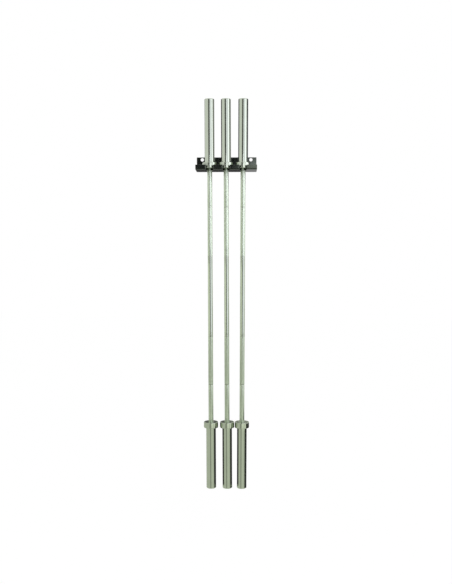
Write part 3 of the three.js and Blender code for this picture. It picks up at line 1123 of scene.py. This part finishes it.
# %% Retaining ring outline
RING_NARROW = 1.5
RING_WIDE = 2.7
RING_LUG = 3.2
RING_STEPS = 48
RING_EDGE_ROUND = 0.2
GAP_HALF_ANGLE = 14.0
LUG_ANGLE = 10.0
LUG_STEPS = 4
LUG_HOLE_ANGLE = GAP_HALF_ANGLE + 5.5
LUG_HOLE_RADIUS = 0.7
LUG_HOLE_SIDES = 10
BODY_START = GAP_HALF_ANGLE + 9.0
ring_inner = JOURNAL_RADIUS - GROOVE_DEPTH + RUNNING_GAP


def ring_outline():
    outline = []
    for step in range(RING_STEPS + 1):
        degrees = BODY_START + (360 - 2 * BODY_START) * step / RING_STEPS
        swell = 0.5 - 0.5 * math.cos(math.radians(degrees))
        width = RING_NARROW + (RING_WIDE - RING_NARROW) * swell
        outline.append(on_circle((0, 0), ring_inner + width, degrees))
    gap_end, lug_radius = 360 - GAP_HALF_ANGLE, ring_inner + RING_LUG
    outline += arc((0, 0), lug_radius, gap_end - LUG_ANGLE, gap_end, LUG_STEPS)
    outline += arc((0, 0), ring_inner, gap_end, GAP_HALF_ANGLE, RING_STEPS)
    return outline + arc((0, 0), lug_radius, GAP_HALF_ANGLE, GAP_HALF_ANGLE + LUG_ANGLE, LUG_STEPS)


def lug_hole(degrees):
    middle = on_circle((0, 0), ring_inner + RING_LUG / 2, degrees)
    return circle(middle, LUG_HOLE_RADIUS, LUG_HOLE_SIDES)


def ring_mesh():
    loops = [ring_outline(), lug_hole(LUG_HOLE_ANGLE), lug_hole(-LUG_HOLE_ANGLE)]
    return level_plate(loops, RING_MIDDLE - RING_THICKNESS / 2, RING_THICKNESS, RING_EDGE_ROUND)


print("ring outline of", len(ring_outline()), "points")

# %% [markdown]
# ### Put the bars together
#
# The three bars are the same, so a loop makes them. The shaft rides on the bar's own body, and
# so do the two retaining rings in its grooves. Sleeve, collar, cap, bushings and washer ride on
# the body of their end, which spins about the shaft.

# %% Hang the three bars
BAR_END_PIECES = [
    ("sleeve", sleeve_profile, True, sleeve_chrome, "sleeve_chrome"),
    ("collar", collar_profile, True, sleeve_chrome, "sleeve_chrome"),
    ("end_cap", cap_profile, False, sleeve_chrome, "sleeve_chrome"),
    ("inner_bushing", bushing_profile(inner_bushing_bottom), True, bushing_bronze, "bushing_bronze"),
    ("outer_bushing", bushing_profile(outer_bushing_bottom), True, bushing_bronze, "bushing_bronze"),
    ("thrust_washer", washer_profile, True, spring_steel, "spring_steel"),
]


def dress_bar_end(bar, end, place):
    """All pieces of one end of a bar."""
    name, node = f"{bar[4:]}_bar_{end}_", f"{bar}_{end}_"
    for piece, profile, closed, finish, slot in BAR_END_PIECES:
        mesh = turned_mesh(profile, closed)
        into_piece(name + piece, mesh, finish, node + "end", node + piece, place)
    piece = "retaining_ring"
    ring = into_piece(name + piece, ring_mesh(), spring_steel, bar, node + piece, place)
    even_shading(ring)


for bar in ("bar_left", "bar_middle", "bar_right"):
    place = stood_on(f"{bar}_upper_sleeve_spin", 1)
    shaft = turned_mesh(shaft_profile, closed=False)
    into_piece(f"{bar[4:]}_bar_shaft", shaft, shaft_chrome, bar, f"{bar}_shaft", place)
    dress_bar_end(bar, "upper", place)
    dress_bar_end(bar, "lower", stood_on(f"{bar}_lower_sleeve_spin", -1))
    print(bar, "dressed")

# %% [markdown]
# ## Floor and backdrop
#
# The photograph has a plain white background. White could be had by more lamps, but those would
# wash the metal out. A shader can instead ask what kind of ray has hit it: to the camera, and to
# rays that come off metal, the world is plain white, while for its light on the object it keeps
# a plain level. To the camera the floor is white too, and keeps a share of its lit colour, with
# the shadow. In metal it shows mostly a painted reflection: a fixed, dimmer glow with a green tint.

# %% World and floor
WHITE = (1.0, 1.0, 1.0, 1.0)
WORLD_LIGHT = 0.92
FLOOR_HEIGHT = -2.05
FLOOR_SIZE = 26.0
FLOOR_PAINT = (0.95, 0.95, 0.95, 1.0)
FLOOR_SEEN = 0.90
FLOOR_GLOW = 1.012
# How the floor shows in metal is a painted reflection, dimmer and tinted.
FLOOR_IN_METAL = 0.70
FLOOR_TINT_IN_METAL = (0.957, 1.0, 0.872, 1.0)


def seen_rays(tree):
    """1 for rays from the camera, through glass or off shiny metal, 0 for plain light."""
    rays = wire(tree, "LightPath").outputs
    direct = reckon(tree, "MAXIMUM", rays["Is Camera Ray"], rays["Is Transmission Ray"])
    return reckon(tree, "MAXIMUM", direct, rays["Is Glossy Ray"])


world = bpy.data.worlds.new("plain_studio")
bpy.context.scene.world = world
world.use_nodes = True
tree, background = world.node_tree, world.node_tree.nodes["Background"]
background.inputs["Color"].default_value = WHITE
drive(tree, background, Strength=weighted_sum(tree, WORLD_LIGHT, (seen_rays(tree), 1.0 - WORLD_LIGHT)))

floor_finish, tree, surface = new_finish("pale_floor", Base_Color=FLOOR_PAINT, Roughness=0.9)
# In metal the floor shows a painted reflection, a fixed dimmer glow with a green tint.
off_metal = wire(tree, "LightPath").outputs["Is Glossy Ray"]
glow_colour = tint(tree, off_metal, WHITE, FLOOR_TINT_IN_METAL)
glow_level = weighted_sum(tree, FLOOR_GLOW, (off_metal, FLOOR_IN_METAL - FLOOR_GLOW))
glow = wire(tree, "Emission", {"Color": glow_colour, "Strength": glow_level})
share = reckon(tree, "MULTIPLY", seen_rays(tree), FLOOR_SEEN)
blend = wire(tree, "MixShader", {0: share, 1: surface.outputs[0], 2: glow.outputs[0]})
drive(tree, tree.nodes["Material Output"], Surface=blend.outputs[0])

floor_mesh = bmesh.new()
bmesh.ops.create_grid(floor_mesh, x_segments=2, y_segments=2, size=FLOOR_SIZE / 2)
floor_data = bpy.data.meshes.new("floor")
floor_mesh.to_mesh(floor_data)
floor_mesh.free()
floor = put("floor", floor_data, floor_finish)
floor.location = (0.0, 0.0, FLOOR_HEIGHT)
print("floor at", FLOOR_HEIGHT, "m")

# %% [markdown]
# ## One soft lamp
#
# The world lights everything evenly, so a large lamp from the right and above only has to give
# the rack some shape and the floor a soft shadow. Metal does not mirror it: what the chrome
# mirrors is set apart, in the next cells, so that light and reflections can be tuned singly.

# %% Soft lamp
LAMP_PLACE = (1.5, -4.2, 1.4)
LAMP_SIZE = (2.7, 2.6)
LAMP_POWER = 32.0

lamp = bpy.data.lights.new("soft_lamp", "AREA")
lamp.shape = "RECTANGLE"
lamp.size, lamp.size_y = LAMP_SIZE
lamp.energy = LAMP_POWER
soft_lamp = bpy.data.objects.new("soft_lamp", lamp)
soft_lamp.location = LAMP_PLACE
soft_lamp.rotation_euler = (-Vector(LAMP_PLACE)).to_track_quat("-Z", "Y").to_euler()
soft_lamp.visible_camera = False
soft_lamp.visible_glossy = False
bpy.context.scene.collection.objects.link(soft_lamp)
print("soft lamp of", LAMP_POWER, "W")

# %% [markdown]
# ## Cards for the chrome to mirror
#
# Chrome shows nothing but its surroundings, so photographers stand white and black cards round
# it. A round bar mirrors the direction at twice the angle by which its surface turns away, so
# each band on a bar gives the bearing of one card. Each card here is a strip between two
# bearings round the bars, seen only by reflections, with a plain brightness of its own: it is a
# painted reflection, bright or dark.

# %% Reflector cards
BARS_Y = -BAR_SETBACK * MM
CARD_STEP = 8.0
ONE_QUAD = [(0, 1, 2, 3)]
WARM = (0.96, 1.0, 0.88, 1.0)
COOL = (0.885, 0.885, 1.0, 1.0)


def shown_to_metal(name, brightness, corners, faces=ONE_QUAD, paper_colour=WHITE):
    """A surface of plain brightness that only mirror reflections see; it casts no shadow."""
    mesh = bpy.data.meshes.new(name)
    mesh.from_pydata(corners, [], faces)
    paper, tree, surface = new_finish(
        name, Base_Color=(0.0, 0.0, 0.0, 1.0), Roughness=1.0, Specular_IOR_Level=0.0,
        Emission_Color=paper_colour, Emission_Strength=brightness,
    )
    made = put(name, mesh, paper)
    for kind in ("camera", "diffuse", "shadow", "transmission"):
        setattr(made, "visible_" + kind, False)


def around_bars(bearing, distance, height):
    """A point at a bearing in degrees: 0 is towards the camera, 90 is to the right."""
    angle = math.radians(bearing)
    return (distance * math.sin(angle), BARS_Y - distance * math.cos(angle), height)


def card(name, brightness, bearings, distance, low, high, paper_colour=WHITE):
    """A curved upright card between two bearings round the bars."""
    first, last = bearings
    steps = max(1, round((last - first) / CARD_STEP))
    corners = []
    for step in range(steps + 1):
        bearing = first + (last - first) * step / steps
        corners += [around_bars(bearing, distance, low), around_bars(bearing, distance, high)]
    faces = [(2 * k, 2 * k + 2, 2 * k + 3, 2 * k + 1) for k in range(steps)]
    shown_to_metal("card_" + name, brightness, corners, faces, paper_colour)
    print(f"{name}: bearings {first} to {last}, brightness {brightness}")


# %% [markdown]
# The upper sleeves mirror what stands level with the eye and higher: a dark band behind the
# camera, a bright panel right of it, a narrow brighter strip and darkness beyond that.

# %% Cards for the upper sleeves and the rack
FAR = 4.25
for row in [
    ("behind_camera", 0.17, (-29, 8), FAR, 0.50, 1.9),
    ("behind_camera_low", 0.17, (-29, 1.9), FAR + 0.05, 0.38, 0.50),
    ("facing_flange_left", 0.10, (-10, -2.2), FAR - 0.05, 0.40, 0.72),
    ("facing_flange", 0.005, (-2.2, 1.9), FAR - 0.05, 0.40, 0.72),
    ("facing_lip", 0.10, (-10, 1.9), FAR, 0.12, 0.40),
    ("panel_near", 1.56, (1.9, 34), FAR + 0.1, -1.0, 1.9, COOL),
    ("panel_edge", 2.8, (1.9, 7.0), FAR, 0.0, 0.52, COOL),
    ("panel_far", 1.30, (34, 51), FAR + 0.1, -1.0, 1.9, COOL),
    ("strip", 2.43, (53, 77), 0.9, -0.45, 0.9, COOL),
    ("glint_front", 1.7, (3.6, 60), 1.5, 0.02, 0.110),
    ("glint_side", 4.0, (60, 92), 1.5, 0.0, 0.110),
    ("dark_beyond_glint", 0.18, (92, 176), 1.5, 0.0, 0.13, COOL),
    ("left_of_tabs", 0.30, (-140, -12), 1.5, 0.084, 0.106),
    ("dark_right", 0.18, (86, 176), 1.6, 0.13, 1.6, COOL),
    ("dark_left", 0.15, (-176, -140), 1.6, 0.13, 1.6),
    ("behind_shelf", 0.07, (177.4, 196), 2.1, -0.75, 0.02),
    ("behind_last_tab", 0.34, (160, 177.4), 2.1, -0.75, 0.02),
]:
    card(*row)

# %% [markdown]
# The bend under the lip mirrors the floor in front. In the photograph it stays dark half way
# round, so a dark sheet lies flat there, at the height of the eye: an upright bar seen from that
# height mirrors rays that part from it upwards and downwards, so it only shows its edge.

# %% Flat card for the bend
EYE_HEIGHT = CAMERA_PLACE[2]
# The sheet is a painted dark reflection on the bend; nothing but reflections sees it.
SHEET_BLACK = 0.03
SHEET_CORNERS = [(-0.17, -0.27), (-0.42, -3.9), (0.10, -3.9), (0.078, -0.27)]
shown_to_metal("card_under_lip", SHEET_BLACK, [(x, y, EYE_HEIGHT) for x, y in SHEET_CORNERS])
print("flat card at %.4f m" % EYE_HEIGHT)

# %% [markdown]
# The shafts mirror the middle of the room, where only the camera itself is dark: on their
# smooth middle it is a fine line between a pale side and a bright one. The lower collars and
# sleeves look down at the floor, and so do the cards that they mirror.

# %% Cards for the shafts, lower collars and lower sleeves
NEAR = 1.0
MIDDLE_VIEW = (-1.70, -0.33)
COLLAR_VIEW = (-1.63, -1.575)
SLEEVE_VIEW = (FLOOR_HEIGHT, -1.63)
LOW_VIEW = (FLOOR_HEIGHT, -1.575)
for row in [
    ("camera", 0.15, (-25, 12), FAR, *MIDDLE_VIEW, WARM),
    ("left_of_camera", 1.05, (-140, -25), FAR, *MIDDLE_VIEW, WARM),
    ("right_of_camera", 1.5, (12, 76), FAR, *MIDDLE_VIEW, COOL),
    ("shade_left", 0.62, (-110, -38), 1.5, -0.50, 0.02, WARM),
    ("shade_low", 0.39, (-150, 60), 2.2, -1.82, -1.33, WARM),
    ("low_line", 0.38, (-26, -4), NEAR, *LOW_VIEW, WARM),
    ("collar_light", 1.18, (4, 33), NEAR, *COLLAR_VIEW, WARM),
    ("collar_dip", 0.86, (33, 47), NEAR, *COLLAR_VIEW, WARM),
    ("collar_light_again", 1.15, (47, 66), NEAR, *COLLAR_VIEW, WARM),
    ("sleeve_light", 0.80, (4, 40), NEAR, *SLEEVE_VIEW, WARM),
    ("low_right", 0.05, (69, 176), NEAR, *LOW_VIEW),
    ("low_left", 0.05, (-176, -150), NEAR, *LOW_VIEW),
    ("behind_collars_right", 0.36, (150, 180), 2.1, -1.10, -0.76, WARM),
    ("behind_collars_left", 0.12, (180, 210), 2.1, -1.10, -0.76, WARM),
]:
    card(*row)

# %% [markdown]
# Neighbouring sleeves also mirror each other, and their flanks would show the same bands again.
# A small card in each gap paints the reflection there instead: seen only by reflections, it has
# its own grey towards the bar on its left, and another towards the bar on its right.

# %% Cards in the gaps between the sleeves
# Greys of the gap cards: painted reflections, dark and grey, between the sleeves.
GAP_BLACK = 0.06
GAP_GREY = 0.38
GAP_LIGHT = 0.95
GAP_CARDS = {
    ("upper", -0.015, 0.30): [
        ("left", GAP_GREY, -0.121, -0.065),
        ("right", GAP_BLACK, -0.108, -0.065),
        ("front", GAP_LIGHT, -0.121, -0.108),
    ],
    ("lower", -1.70, -1.40): [
        ("left", GAP_BLACK, -0.114, -0.025),
        ("right", GAP_BLACK, -0.121, -0.025),
    ],
}


def axis_x(joint_name, height):
    """How far to the right the axis of a sleeve lies at a height."""
    place, axis = joint_line(joint_name)
    return (place + axis * (height - place.z) / axis.z).x


for bars in (("left", "middle"), ("middle", "right")):
    for (end, low, high), cards in GAP_CARDS.items():
        x = sum(axis_x(f"bar_{bar}_{end}_sleeve_spin", (low + high) / 2) for bar in bars) / 2
        name = f"gap_{bars[1]}_{end}"
        for side, brightness, front, back in cards:
            here = x - MM if side == "left" else x + MM
            corners = [(here, front, low), (here, back, low), (here, back, high), (here, front, high)]
            shown_to_metal(f"{name}_{side}", brightness, corners)
        print(name, "at x = %.1f mm" % (x / MM))
